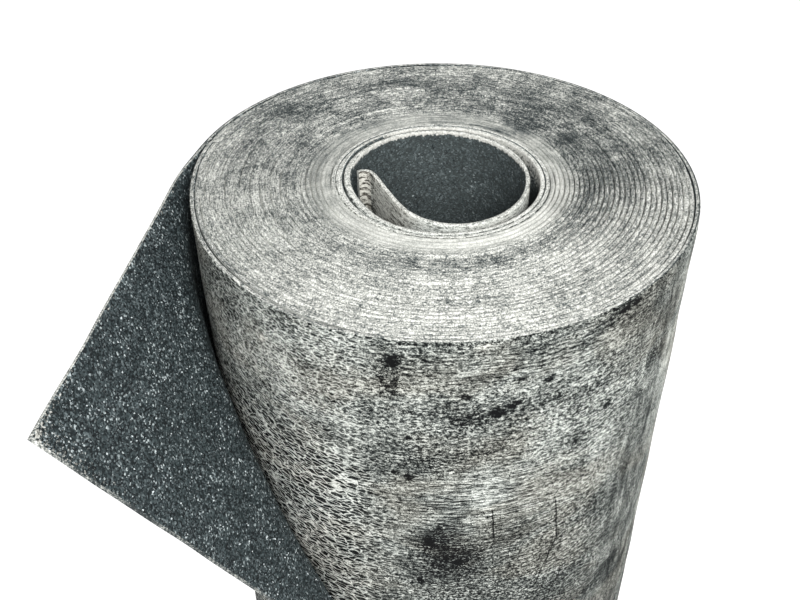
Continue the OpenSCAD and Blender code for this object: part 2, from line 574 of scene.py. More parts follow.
# %% From arrays to a piece
FINISHES = [dusted_face, gritted_face, cut_edges]
DUSTED, GRITTED, CUT = range(3)
MARKS = ["net", "comb", "worn", "stain_and_painted_light", "cream", "chalk", "soot_and_shade", "line", "calm", "dust"]
SHARP_FROM = math.radians(50)


def keep_at_points(mesh, key, values):
    """Keeps a number at each point of a mesh, for a finish to read."""
    mesh.attributes.new(key, "FLOAT", "POINT").data.foreach_set("value", values)


def place_piece(name, mesh):
    """Puts a mesh into the scene as a piece of the felt."""
    piece = bpy.data.objects.new(name, mesh)
    bpy.context.scene.collection.objects.link(piece)
    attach(piece, "root")
    return piece


def lay_piece(name, points, faces, plan, finish, marks):
    """Makes a piece: points (n, 3), faces with their corners, plan (corner, 2), finish per face."""
    mesh = bpy.data.meshes.new(name)
    mesh.from_pydata(points, [], faces)
    mesh.uv_layers.new(name="felt_flat").data.foreach_set("uv", np.asarray(plan, np.float32).ravel())
    for key in MARKS:
        values = np.asarray(marks.get(key, 0.0), np.float32)
        keep_at_points(mesh, key, np.broadcast_to(values, len(points)))
    for material in FINISHES:
        mesh.materials.append(material)
    mesh.polygons.foreach_set("material_index", np.asarray(finish, np.int32))
    mesh.shade_smooth()
    mesh.set_sharp_from_angle(angle=SHARP_FROM)
    mesh.update()
    print(name, len(points), "points,", len(faces), "faces")
    return place_piece(name, mesh)


print("finishes for the sheet:", [material.name for material in FINISHES])

# %% [markdown]
# ## Unevenness and marks
# Nothing on an old roll is even. Low waves with a fixed seed move the surfaces a little, the same
# way at each run, and soft round marks put stains, bare places and a few patches of painted light
# and shade where the photograph has them.

# %% Unevenness and marks
WAVE_COUNT = 20


def waves(across, along, seed, finest, coarsest):
    """A smooth uneven surface: seeded cosine waves of many lengths and directions, added up."""
    rng = np.random.default_rng(seed)
    length = np.exp(rng.uniform(np.log(finest), np.log(coarsest), WAVE_COUNT))
    turn, shift = rng.uniform(0, 2 * np.pi, (2, WAVE_COUNT))
    total = np.zeros(np.broadcast(across, along).shape)
    for size, way, start in zip(length, turn, shift):
        total += np.cos(2 * np.pi / size * (across * np.cos(way) + along * np.sin(way)) + start)
    return total / np.sqrt(WAVE_COUNT)


def spots(across, along, places):
    """Soft round marks added up: each is (across, along, half width, half height, strength)."""
    total = np.zeros(np.broadcast(across, along).shape)
    for u, v, wide, tall, strength in places:
        total += strength * np.exp(-(((across - u) / wide) ** 2) - ((along - v) / tall) ** 2)
    return total


def degrees_from(angle, way):
    """Degrees from a direction to an angle in radians, from -180 to 180."""
    return (np.degrees(angle) - way + 180) % 360 - 180


print(WAVE_COUNT, "waves to an uneven surface")

# %% [markdown]
# ## Dust on the ends
# Seen from above, the end is palest in front and round the bore, and dark patches lie mostly at the
# back and at the right. Plain noise would put them anywhere, so they are placed one by one on the
# end's plan, in millimetres.

# %% Dust on the ends
SOOT_SPOTS = [
    (72, 22, 30, 26, 0.40), (45, 62, 34, 26, 0.36), (70, -8, 14, 20, 0.12), (-8, 84, 34, 16, 0.30),
    (-62, 58, 28, 22, 0.30), (-80, 18, 18, 28, 0.18), (-58, 24, 16, 20, 0.12), (-62, -24, 24, 30, 0.10),
    (-10, 62, 30, 14, 0.08), (35, 40, 12, 10, 0.24), (58, -30, 12, 16, 0.16), (0, -62, 40, 8, 0.12),
    (-48, -46, 18, 14, 0.08), (20, -96, 50, 10, -0.05),
]
BORE_RING, BORE_RING_W = 50, 7
DARK_RING, DARK_RING_W = 64, 4


def soot_on_end(x, y):
    """How much dust is gone: the spots less the pale ring, plus the dark ring; below 0 is more dust."""
    x, y = x / MM, y / MM
    radius, way = np.hypot(x, y), np.arctan2(y, x)
    pale = np.exp(-(((radius - BORE_RING) / BORE_RING_W) ** 2)) * (0.09 + 0.07 * np.cos(way + 0.6))
    dark = np.exp(-(((radius - DARK_RING) / DARK_RING_W) ** 2)) * (0.09 + 0.09 * np.cos(way + 0.9))
    rim = 0.04 * np.clip((radius - 78) / 10, 0, 1)
    back = 0.06 * np.clip(np.sin(way - 0.5), 0, 1)
    return spots(x, y, SOOT_SPOTS) - pale + dark + rim + back


def calm_on_end(x, y):
    """How even the dust is: most on the ring of turns round the bore."""
    return np.exp(-(((np.hypot(x, y) / MM - BORE_RING) / BORE_RING_W) ** 4))


print("soot at the back and in front:", [round(float(soot_on_end(0, y * MM)), 2) for y in (85, -85)])

# %% [markdown]
# ## The wound turns
# The roll's ends show some thirty turns of one sheet. They could be thirty rings, but a wound
# sheet is a spiral, so this is one strip that is carried round: five rows across each turn, with
# the first row in the line between two turns. The outer side of a turn's strip is the first row
# of the next turn's, one full turn of columns further on, so the whole end is one closed skin.
# The innermost turns sit a little off centre, and at the left the outer ones have sunk in where
# the sprung corner no longer holds them, as in the photograph.

# %% The lines between the turns
TURN_COLS = 216
PACK_FROM, PACK_TURNS = 190.0, 27 + 335 / 360
PACK_COLS = round(PACK_TURNS * TURN_COLS)
PACK_IN = 0.4104 * SEEN_R
SHEET_FROM = -195.0
PACK_OUT = wound_radius(SHEET_FROM)
BULGE, BULGE_WAY, BULGE_WIDE = 0.036 * SEEN_R, 315, 70
SLUMP, SLUMP_WAY, SLUMP_WIDE = 3.2 * MM, 208, 32


def slumped(radius, angle):
    """Radius after the outer turns have sunk in at the left: less by a broad dent that grows outwards."""
    dent = np.exp(-((degrees_from(angle, SLUMP_WAY) / SLUMP_WIDE) ** 4))
    return radius - SLUMP * dent * (radius / OUT_R) ** 3


def pack_line(column):
    """Radius of the line on the inner side of a column: a spiral, off centre by less and less."""
    share = column / PACK_COLS
    angle = np.radians(PACK_FROM + column * 360 / TURN_COLS)
    pitch = (PACK_OUT - PACK_IN) / PACK_TURNS
    bulge = np.exp(-((degrees_from(angle, BULGE_WAY) / BULGE_WIDE) ** 2))
    off = BULGE * np.clip(1 - share, 0, 1) ** 2 * bulge
    return PACK_IN + (PACK_OUT - PACK_IN) * share - pitch / 2 + off, angle


print(PACK_COLS, "columns from radius", round(PACK_IN, 4), "to", round(PACK_OUT, 4), "m")

# %% The wound turns
ROW_SHARE = np.array([0.14, 0.36, 0.64, 0.86])
CROWN = np.array([0.28, 0, 0, 0.28]) * MM
TURN_RISE, GRAIN_RISE = 0.3 * MM, 0.07 * MM
LINE_DEEP, LINE_UNEVEN, GAPING = 0.6 * MM, 0.5 * MM, 0.8 * MM
GAPING_WAY, GAPING_WIDE = -20, 50
LINE_LEAST, LINE_MOST = 0.15 * MM, 2.2 * MM
# The hidden walls between the two ends all take this place along the flat plan
WALL_PLAN = 0.1


def end_relief(length, angle, rows):
    """Heights of all points of an end: first the sunk lines, then the crowned rows between them."""
    along = length[: len(rows)]
    level = TURN_RISE * waves(along, 0, 5, 40 * MM, 400 * MM)[:, None] - CROWN
    level = level + GRAIN_RISE * waves(along[:, None], rows * 6, 6, 3 * MM, 20 * MM)
    deep = LINE_DEEP + LINE_UNEVEN * waves(length, 0, 7, 20 * MM, 150 * MM)
    deep = deep + GAPING * np.exp(-((degrees_from(angle, GAPING_WAY) / GAPING_WIDE) ** 2))
    return np.concatenate([-np.clip(deep, LINE_LEAST, LINE_MOST), level.ravel()])


def end_xy(angle, line_r, row_r):
    """Plan of all points of an end: first the lines, then the rows between them."""
    way = np.stack([np.cos(angle), np.sin(angle)], -1)
    rows = row_r[..., None] * way[: len(row_r), None]
    return np.concatenate([line_r[:, None] * way, rows.reshape(-1, 2)])


def wound_turns():
    """Top: radius = line + share of the way to the next line, height = a crown and a sunk line."""
    every = np.arange(PACK_COLS + TURN_COLS + 1)
    cols = np.arange(PACK_COLS + 1)
    radius, angle = pack_line(every)
    length = np.concatenate([[0], np.cumsum(radius[:-1] * math.radians(360 / TURN_COLS))])
    wide = radius[cols + TURN_COLS] - radius[cols]
    rows = radius[cols, None] + wide[:, None] * ROW_SHARE
    relief = end_relief(length, angle, rows)
    flat_xy = end_xy(angle, slumped(radius, angle), slumped(rows, angle[cols, None]))
    top = np.column_stack([flat_xy, ROLL_W + relief])
    low = np.column_stack([end_xy(angle, radius, rows), np.clip(-relief, 0, None)])
    points = np.concatenate([top, low])

    across = len(ROW_SHARE) + 1
    index = np.empty((PACK_COLS + 1, across + 1), int)
    index[:, 0] = cols
    index[:, 1:-1] = len(every) + np.arange(rows.size).reshape(rows.shape)
    index[:, -1] = cols + TURN_COLS
    up = np.stack([index[:-1, :-1], index[:-1, 1:], index[1:, 1:], index[1:, :-1]], -1).reshape(-1, 4)
    down = up[:, ::-1] + len(top)
    inner = np.concatenate([np.arange(TURN_COLS + 1), index[0, -2:0:-1]])
    outer = np.concatenate([PACK_COLS + np.arange(TURN_COLS + 1), index[-1, -2:0:-1]])
    in_next, out_next = np.roll(inner, -1), np.roll(outer, -1)
    walls = np.concatenate([
        np.stack([inner, in_next, in_next + len(top), inner + len(top)], -1),
        np.stack([outer + len(top), out_next + len(top), out_next, outer], -1),
    ])
    faces = np.concatenate([up, down, walls])

    around = np.stack([cols[:-1], cols[:-1], cols[1:], cols[1:]], -1)
    around = around[:, None, :].repeat(across, 1).reshape(-1, 4)
    plan_up = np.stack([length[around], np.hypot(*flat_xy.T)[up]], -1)
    plan_wall = np.stack([np.full(walls.shape, WALL_PLAN), points[walls][..., 2]], -1)
    plan = np.concatenate([plan_up, plan_up[:, ::-1], plan_wall])
    finish = np.repeat([CUT, DUSTED], [len(up) + len(down), len(walls)])
    in_line = np.zeros(len(top))
    in_line[: len(every)] = 0.62 + 0.38 * np.clip(np.cos(angle - 0.2), 0, 1)
    marks = {"line": in_line, "soot_and_shade": soot_on_end(*flat_xy.T), "calm": calm_on_end(*flat_xy.T)}
    marks = {key: np.tile(values, 2) for key, values in marks.items()}
    return lay_piece("wound_turns", points, faces, plan, finish, marks)


turns_piece = wound_turns()
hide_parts("felt_roll")

# %% [markdown]
# ## A skin round a sheet
# The free ends of the sheet are loose, so they need both faces and the edges between them. The
# middle of the sheet is a grid of points, along the sheet by up it. Blender could thicken such a
# grid with a modifier, but here each face is that grid moved half a thickness along its own
# normal, a little less next to the edges so that they look rounded. Strips of faces close the
# top, the bottom and the two cut ends.

# %% A skin round a sheet
EDGE_STEPS = np.array([0.0, 0.25, 0.8]) * MM
EDGE_SHARE = np.array([0.70, 0.93, 1.0])
HALF_T = 0.47 * FELT_T
EDGE_RIDGE = 0.12 * MM
NEAR_FROM, FAR_TO = 2.5 * MM, ROLL_W - 3 * MM


def sheet_rows(fine_to, fine, coarse):
    """Heights of the rows: close together near the top edge, wide apart below."""
    near = np.arange(NEAR_FROM, fine_to, fine)
    far = np.linspace(fine_to, FAR_TO, max(3, round((ROLL_W - fine_to) / coarse)))
    depth = np.concatenate([EDGE_STEPS, near, far, ROLL_W - EDGE_STEPS[::-1]])
    return np.sort(ROLL_W - depth)


def strip(first, second):
    """Quads between two lines of points that run along the sheet, facing left of first to second."""
    return np.stack([first[:-1], first[1:], second[1:], second[:-1]], -1).reshape(-1, 4)


def sheet_points(middle, swell):
    """Points of a sheet's skin: middle + and - half a thickness along the normal, then both edges."""
    normal = np.cross(np.gradient(middle, axis=0), np.gradient(middle, axis=1))
    normal /= np.linalg.norm(normal, axis=2, keepdims=True)
    share = np.ones((1, middle.shape[1]))
    share[:, : len(EDGE_SHARE)] = EDGE_SHARE
    share[:, -len(EDGE_SHARE) :] = EDGE_SHARE[::-1]
    half = (HALF_T * share * swell)[..., None] * normal
    ridge = middle[:, -1] + [0, 0, EDGE_RIDGE]
    faces = [(middle + half).reshape(-1, 3), (middle - half).reshape(-1, 3)]
    return np.concatenate(faces + [ridge, middle[:, 0]])


def sheet_skin(middle, length, swell=1.0):
    """Points, faces, plan and finish of the closed skin of a sheet with this middle surface.

    swell is how many times thicker the sheet is, at each point of the grid."""
    points = sheet_points(middle, swell)
    n, k = middle.shape[:2]
    out = np.arange(n * k).reshape(n, k)
    inn = out + n * k
    top = 2 * n * k + np.arange(n)
    low = top + n
    dusted = strip(out[:, :-1], out[:, 1:])
    gritted = strip(inn[:, 1:], inn[:, :-1])
    edge = np.concatenate([
        strip(out[:, -1], top), strip(top, inn[:, -1]), strip(inn[:, 0], low), strip(low, out[:, 0]),
        strip(inn[0], out[0]), strip(out[-1], inn[-1]),
    ])
    caps = np.array([
        [out[0, -1], top[0], inn[0, -1]], [inn[0, 0], low[0], out[0, 0]],
        [inn[-1, -1], top[-1], out[-1, -1]], [out[-1, 0], low[-1], inn[-1, 0]],
    ])
    quads = np.concatenate([dusted, gritted, edge])
    faces = quads.tolist() + caps.tolist()
    corner = np.concatenate([quads.ravel(), caps.ravel()])
    along = np.concatenate([np.repeat(length, k), np.repeat(length, k), length, length])
    on_edge = np.arange(len(corner)) >= dusted.size + gritted.size
    far = np.hypot(points[:, 0], points[:, 1])
    plan = np.stack([along[corner], np.where(on_edge, far[corner], points[corner, 2])], -1)
    finish = np.repeat([DUSTED, GRITTED, CUT], [len(dusted), len(gritted), len(edge) + len(caps)])
    return points, faces, plan, finish


def at_points(values, k):
    """A number of each column of a sheet's grid, repeated at the points of its skin."""
    return np.concatenate([np.repeat(values, k), np.repeat(values, k), values, values])


print("edge rounding", [round(step / MM, 2) for step in EDGE_STEPS], "mm")

# %% [markdown]
# ## The loose corner's path
# The outermost sheet goes once round the roll, and a quarter more where the corner has left the
# turn below bare. The corner is stiff: it stands off as a nearly flat leaf that swings in
# towards the roll lower down, with its tip bowed outwards a little. So each level of the sheet
# follows the roll's spiral to the place where the leaf's plane cuts it, and runs straight from
# there to the cut end. The step between the two is then smoothed along the sheet, which gives the
# soft bend that felt has.

# %% The loose corner's path
LOOSE_FROM = 150.0
PLANE_WAY, PLANE_R, PLANE_TILT = 175.8, 111.2 * MM, math.radians(25.0)
FOOT_TURN = math.radians(FREE_END - PLANE_WAY)
CORNER_REACH, FOOT_DEPTH = 163.5 * MM, 223.0 * MM
CORNER_BOW, EDGE_WAVE = 1.7 * MM, 0.4 * MM
LOOSE_COLS, EXTRA_COLS = 72, 12
BEND_COLS, BEND_PASSES = 2, 3


def corner_level(depth):
    """Path of one level of the loose part: round the spiral, then straight to the cut end.

    Returns the path and the plain spiral of the same length, as arrays (column, level, 2)."""
    radius = wound_radius(PLANE_WAY)
    above_foot = depth < FOOT_DEPTH
    down = np.clip(depth / FOOT_DEPTH, 0, 1)
    off = PLANE_R - depth * math.tan(PLANE_TILT)
    leave = np.where(above_foot, np.arccos(np.clip(off / radius, -1, 1)), FOOT_TURN)
    round_to = radius * (math.radians(PLANE_WAY - LOOSE_FROM) + leave)
    reach = CORNER_REACH + (radius * math.sin(FOOT_TURN) - CORNER_REACH) * down
    straight = np.where(above_foot, np.clip(reach - radius * np.sin(leave), 0, None), 0)
    share = np.arange(LOOSE_COLS + EXTRA_COLS) / (LOOSE_COLS - 1)
    gone = share[:, None] * (round_to + straight)
    angle = math.radians(LOOSE_FROM) + gone / radius
    plain = wound_radius(np.degrees(angle))[..., None] * np.stack([np.cos(angle), np.sin(angle)], -1)
    out = np.array([math.cos(math.radians(PLANE_WAY)), math.sin(math.radians(PLANE_WAY))])
    on = np.array([-out[1], out[0]])
    past = radius * np.sin(leave) + gone - round_to
    reached = np.clip(past / CORNER_REACH, 0, 1)
    bow = CORNER_BOW * reached**3 + EDGE_WAVE * reached * waves(past, 0, 9, 35 * MM, 110 * MM)
    stand = off + bow * (1 - down)
    leaf = stand[..., None] * out + past[..., None] * on
    loose = (gone > round_to) & above_foot
    return np.where(loose[..., None], leaf, plain), plain


def smoothed(values, reach, axis=0):
    """Moving average over 2 * reach + 1 neighbours along one axis, with the ends carried on."""
    width = [(0, 0)] * values.ndim
    width[axis] = (reach, reach)
    padded = np.pad(values, width, mode="edge")
    sums = np.cumsum(np.insert(padded, 0, 0, axis=axis), axis=axis)
    first = np.arange(values.shape[axis])
    high = np.take(sums, first + 2 * reach + 1, axis=axis)
    return (high - np.take(sums, first, axis=axis)) / (2 * reach + 1)


last_z = sheet_rows(230 * MM, 3 * MM, 12 * MM)
last_depth = ROLL_W - last_z
loose_path, plain_path = corner_level(last_depth)
sprung = loose_path - plain_path
for _ in range(BEND_PASSES):
    sprung = smoothed(sprung, BEND_COLS)
sprung = sprung[:LOOSE_COLS]
plain_path = plain_path[:LOOSE_COLS]
stand_off = np.linalg.norm(sprung, axis=2)
print("corner stands off by up to", round(float(stand_off.max()) / MM), "mm")

# %% [markdown]
# ## Marks on the last turn
# The stains, the pale places and the combed places are where the photograph has them. Each is one
# soft mark on the sheet, by degrees round the roll and millimetres below the top edge. One stain is
# painted shade under the corner's foot, and one pale place is painted light along the roll's right
# edge, where the side turns away. The net shows at the left, where the corner was peeled off, and
# the right side is rubbed.

# %% Marks on the last turn
# Each mark: degrees, millimetres below the top, half width in degrees, half height, strength
STAINS_AND_PAINTED_SHADE = [
    (261, 15, 4, 9, 0.25), (295, 36, 5, 4, 0.3), (300, 47, 4, 5, 0.3), (282, 36, 6, 5, 0.2),
    # (558, 265): painted shade, a broad dark patch on the roll's side under the corner's foot.
    (275.7, 38, 4, 5, 0.4), (269.5, 108, 4, 6, 0.35), (274.2, 120, 7, 11, 0.38), (558, 265, 30, 60, 0.36),
    (301.5, 66, 4, 5, 0.3), (322, 173, 1.3, 8, 0.4), (309, 3, 4, 3, 0.3), (323, 42, 3, 6, 0.3),
    (276, 150, 20, 25, 0.22), (300, 158, 14, 25, 0.18), (272, 118, 16, 34, 0.18), (270, 1.0, 26, 0.9, 0.28),
    (268, 62, 8, 8, 0.34), (281, 56, 7, 6, 0.3), (270, 27, 6, 8, 0.12), (271, 48, 10, 12, 0.12),
    (236, 115, 14, 40, 0.06),
]
PALE_PLACES_AND_PAINTED_LIGHT = [
    (308, 66, 12, 36, 0.08), (284, 82, 14, 18, 0.08), (252.5, 44, 3, 7, 0.4), (260, 114, 4, 8, 0.3),
    (267, 27, 3, 4, 0.3), (296, 53, 5, 7, 0.25), (309, 91, 5, 10, 0.1), (284, 12, 8, 5, 0.2),
    # (338, 60): painted light, a tall pale band on the right edge of the roll, where its side turns away.
    (338, 60, 8, 120, 0.6), (236, 50, 16, 55, 0.32), (242, 22, 14, 28, 0.2), (300, 22, 8, 10, 0.15),
]
CREAM_FLECKS = [(231.9, 20, 1.1, 1.6, 0.8), (279, 3, 1.3, 1.6, 0.64)]
COMBED_PLACES = [(279, 86, 16, 24, 0.9), (290, 14, 22, 10, 0.5), (268, 130, 12, 16, 0.3)]
NET_TO, NET_FADE = -96, 14
RUBBED_FROM, RUBBED_TO, RUBBED_DOWN = 308, 342, 300
CORNER_TIP = np.array([-124.8, -154.8]) * MM
# Between these angles the last turn's outer top edge is painted dark: a painted shade outline along the
# right and the back of the rim.
SHADED_RIM_FROM, SHADED_RIM_TO = -50, 178


def last_turn_marks(points, angle, k):
    """What the finishes read at each point, by its angle along the sheet and its depth in mm."""
    along = at_points(angle, k)
    way = along + 360
    depth = (ROLL_W - points[:, 2]) / MM
    net = np.clip((NET_TO - along) / NET_FADE, 0, 1) * np.clip(depth / 70, 0.45, 1)
    rub = way + 3 * waves(depth, along, 8, 25, 160)
    worn = 0.75 * np.clip((rub - RUBBED_FROM) / 14, 0, 1) * np.clip((RUBBED_TO - rub) / 10, 0, 1)
    worn = worn * np.clip((RUBBED_DOWN - depth) / 130, 0, 1)
    cream = spots(way, depth, CREAM_FLECKS)
    # Stains less pale places: real stains and talc, with one painted shade patch and one painted light band
    # among them.
    stain_and_painted_light = spots(way, depth, STAINS_AND_PAINTED_SHADE) - spots(way, depth, PALE_PLACES_AND_PAINTED_LIGHT) - 0.8 * cream + 0.22 * worn
    from_tip = np.hypot(*(points[:, :2] - CORNER_TIP).T) / MM
    chalk = 0.24 * np.exp(-((from_tip / 20) ** 2)) + 0.22 * np.exp(-(depth**2))
    chalk = chalk + 0.12 * np.exp(-(((FREE_END - along) / 2) ** 2))
    cut_end = 0.5 * (along > FREE_END - 1) * np.clip(depth / 25, 0.1, 1)
    # Painted shade: a dark line along the top outer edge at the right and the back, added to the soot mark.
    painted_rim_shade = np.zeros(len(points))
    rim = painted_rim_shade[: len(angle) * k].reshape(len(angle), k)[:, -1]
    rim[:] = (angle > SHADED_RIM_FROM) & (angle < SHADED_RIM_TO)
    return {
        "net": 0.1 + 0.9 * net,
        "comb": np.clip(0.3 + spots(way, depth, COMBED_PLACES), 0, 1),
        "worn": worn, "stain_and_painted_light": stain_and_painted_light, "cream": cream, "chalk": chalk,
        "soot_and_shade": soot_on_end(points[:, 0], points[:, 1]) + cut_end + painted_rim_shade,
    }


print(len(STAINS_AND_PAINTED_SHADE), "stains,", len(PALE_PLACES_AND_PAINTED_LIGHT), "pale and", len(COMBED_PLACES), "combed places")

# %% [markdown]
# ## The last turn
# This is the outermost sheet, once round the roll and on into the loose corner, as one grid with a
# skin. Its columns lie closer at the front, where the photograph looks. It sinks in with the turns
# below it at the left, less and less towards the floor, and low bumps keep it from being a plain
# cylinder.

# %% The last turn
WOUND_A = np.concatenate([
    np.arange(SHEET_FROM, -170, 3.0), np.arange(-170, -8, 1.35), np.arange(-8, LOOSE_FROM, 3.0),
])
SLUMP_DOWN = 1.35
FOOT_SINK_FROM, FOOT_SINK_OVER = 130 * MM, 90 * MM
BUMP, RIM_ROWS, RIM_BUMP = 0.16 * MM, 4, 0.3
BARED_WAY, BARED_WIDE, BARED_FLARE, FLARE_DOWN = -132, 24, 0.9 * MM, 14 * MM


def last_turn_middle():
    """Middle of the sheet: the wound spiral, sunk in at the left, then the loose part sprung off it."""
    angle = np.radians(WOUND_A)
    way = np.stack([np.cos(angle), np.sin(angle)], -1)
    radius = wound_radius(WOUND_A)
    lower = np.clip(SLUMP_DOWN * (1 - last_depth / ROLL_W), 0, 1)
    level = radius[:, None] + (slumped(radius, angle) - radius)[:, None] * lower
    loose_r = np.linalg.norm(plain_path, axis=2)
    loose_a = np.arctan2(plain_path[..., 1], plain_path[..., 0])
    foot = lower * np.clip((last_depth - FOOT_SINK_FROM) / FOOT_SINK_OVER, 0, 1)
    sink = (slumped(loose_r, loose_a) / loose_r - 1) * foot
    xy = np.concatenate([level[..., None] * way[:, None], plain_path * (1 + sink[..., None]) + sprung])
    return np.dstack([xy, np.broadcast_to(last_z, xy.shape[:2])])


def last_turn():
    """The outermost sheet: its middle moved outwards by low bumps, with a skin and its marks."""
    middle = last_turn_middle()
    angle = np.concatenate([WOUND_A, np.linspace(LOOSE_FROM, FREE_END, LOOSE_COLS)])
    length = np.radians(angle) * wound_radius(0.0)
    bump = BUMP * (1 + waves(length[:, None], last_z[None, :], 11, 25 * MM, 160 * MM))
    bump[:, -RIM_ROWS:] *= RIM_BUMP
    flare = np.exp(-(((angle - BARED_WAY) / BARED_WIDE) ** 4))
    bump = bump + BARED_FLARE * flare[:, None] * np.exp(-last_depth / FLARE_DOWN)
    way = middle[..., :2] / np.linalg.norm(middle[..., :2], axis=2, keepdims=True)
    middle[..., :2] += bump[..., None] * way
    points, faces, plan, finish = sheet_skin(middle, length)
    marks = last_turn_marks(points, angle, len(last_z))
    lay_piece("last_turn", points, faces, plan, finish, marks)
    return points, middle.shape[:2]


last_points, last_grid = last_turn()

# %% [markdown]
# ## The loose inner end's path
# The innermost turns have no core to lie on, so they have gone slack: three passes round the bore
# touch in places and gape in others, and the cut end hangs free in the bore with its edge curled
# back. A formula can't know how a slack sheet lies, so the path round the bore is listed, as
# thousandths of the rim's radius at degrees along the sheet. It is then smoothed.

# %% The loose inner end's path
INNER_PATH = np.array([
    (169, 300), (174, 268), (183, 240), (198, 224), (218, 226), (234, 250), (249, 284), (263, 318),
    (273, 335), (282, 350), (291, 357), (300, 359), (312, 360), (325, 358), (342, 352), (352, 349),
    (367, 346), (381, 345), (395, 345), (413, 349), (431, 352), (447, 353), (460, 354), (475, 356),
    (491, 357), (512, 358), (530, 357), (549, 355), (568, 356), (578, 360), (590, 372), (599, 380),
    (608, 386), (617, 392), (633, 400), (651, 408), (671, 412), (684, 413), (692, 412), (704, 410),
    (720, 404), (740, 397), (760, 391), (788, 387), (810, 386), (840, 387), (870, 388), (900, 388),
    (918, 389), (935, 394), (951, 401), (970, 410), (990, 418), (1005, 425), (1020, 431), (1044, 433),
    (1064, 429), (1080, 423), (1100, 416), (1120, 410), (1148, 406), (1170, 405), (1200, 406),
    (1230, 408), (1260, 409), (1270, 410.4),
])
INNER_FROM, INNER_TO = 176, 1270.1
SOFTEN, SOFTEN_OVER = 5, 12
CURL_R, CURL_TURN, CURL_STEP = 4 * MM, 100.0, 4.0
INNER_STEP = 2.0 * MM


def inner_path():
    """The path round the bore: radii joined up and smoothed, then a small curl at the free end."""
    angle = np.arange(INNER_FROM, INNER_TO, 1.0)
    radius = np.interp(angle, INNER_PATH[:, 0], INNER_PATH[:, 1] / 1000 * SEEN_R)
    soft = smoothed(smoothed(radius, SOFTEN), SOFTEN)
    share = np.clip((angle - angle[0]) / SOFTEN_OVER, 0, 1)
    radius = radius * (1 - share) + soft * share
    way = np.radians(angle)
    xy = radius[:, None] * np.stack([np.cos(way), np.sin(way)], -1)
    back = xy[0] - xy[3]
    heading = np.arctan2(back[1], back[0])
    ahead = np.array([np.cos(heading), np.sin(heading)])
    side = np.array([-np.sin(heading), np.cos(heading)])
    turn = np.radians(np.arange(CURL_STEP, CURL_TURN + 1, CURL_STEP))
    curl = xy[0] + CURL_R * (np.sin(turn)[:, None] * ahead + (1 - np.cos(turn))[:, None] * side)
    xy = np.concatenate([curl[::-1], xy])
    angle = np.concatenate([angle[0] - np.arange(len(curl), 0, -1), angle])
    gone = np.concatenate([[0], np.cumsum(np.linalg.norm(np.diff(xy, axis=0), axis=1))])
    even = np.arange(0, gone[-1], INNER_STEP)
    even_xy = np.stack([np.interp(even, gone, part) for part in xy.T], -1)
    return even_xy, np.interp(even, gone, angle), even


inner_xy, inner_a, inner_length = inner_path()
print("inner end:", round(inner_length[-1], 3), "m of sheet in", len(inner_xy), "columns")

# %% [markdown]
# ## The loose inner end
# The path is carried straight down the roll as one sheet with a skin. At the left the slack passes
# are swollen near the top, as in the photograph; a thicker skin there does it without a second
# path. The free end's lip is cream, with painted shade along its creases. The grit in the bore is
# dusty, and lighter there as painted light against the bore's shade; talc has crumbled over the
# edges and into the gap at the right.

# %% The loose inner end
inner_z = sheet_rows(70 * MM, 2.5 * MM, 40 * MM)
SWELL, SWELL_DOWN = 0.62, 9 * MM
SOFT_END = 15


def stretch(along, first, last):
    """1 along a stretch of the sheet between two angles, 0 away from it, with soft ends."""
    return np.clip((along - first) / SOFT_END, 0, 1) * np.clip((last - along) / SOFT_END, 0, 1)


def inner_marks(points, k):
    """What the finishes read at each point, by its angle along the sheet and its depth in mm."""
    along = at_points(inner_a, k)
    depth = (ROLL_W - points[:, 2]) / MM
    front = stretch(along, 245, 360) * np.exp(-((depth / 14) ** 2))
    back = stretch(along, 365, 535) * np.exp(-((depth / 1.3) ** 4))
    behind = stretch(along, 690, 850) * np.exp(-((depth / 10) ** 2))
    lip = np.clip((178 - along) / 4, 0, 1)
    soot_and_shade = np.full(len(points), -0.1)
    outer_rim = soot_and_shade[: len(inner_a) * k].reshape(len(inner_a), k)[:, -1]
    outer_rim += 0.9 * stretch(inner_a, 400, 520)
    return {
        # dust 0.5 greys the bore's grit and also lightens it, as painted light against the bore's shade.
        "net": 0.3, "comb": 0.7, "soot_and_shade": soot_and_shade, "calm": 0.15, "dust": 0.5,
        "stain_and_painted_light": -0.25 - 0.9 * front - 0.5 * lip - 0.75 * stretch(along, 176, 262),
        "cream": np.maximum(lip, 0.4 * stretch(along, 170, 262)),
        "chalk": 0.7 * back + 0.62 * behind + 0.25 * np.exp(-((depth / 1.6) ** 2)),
    }


def inner_end():
    """The path carried down the roll as one sheet, thicker where its slack passes meet the top."""
    n, k = len(inner_xy), len(inner_z)
    middle = np.dstack([inner_xy[:, None].repeat(k, 1), np.broadcast_to(inner_z, (n, k))])
    slack = np.exp(-(((inner_a - 555) / 45) ** 4)) + np.exp(-(((inner_a - 915) / 35) ** 4))
    swell = 1 + SWELL * slack[:, None] * np.exp(-(ROLL_W - inner_z) / SWELL_DOWN)
    points, faces, plan, finish = sheet_skin(middle, inner_length, swell)
    lay_piece("inner_end", points, faces, plan, finish, inner_marks(points, k))
    return points, (n, k)


inner_points, inner_grid = inner_end()

# %% [markdown]
# ## Loose grit
# Single grains stand out of the gritted face. They could be painted on, but a real chip catches the
# light from every side: each is an eight-sided lump about a millimetre long, turned at random and
# partly sunk into the face, and all of a face are one mesh. A share of the chips are pale, partly
# the grains' own colour and partly a painted glint. They are strewn only where the photograph shows
# the face, on the loose corner and in the bore.

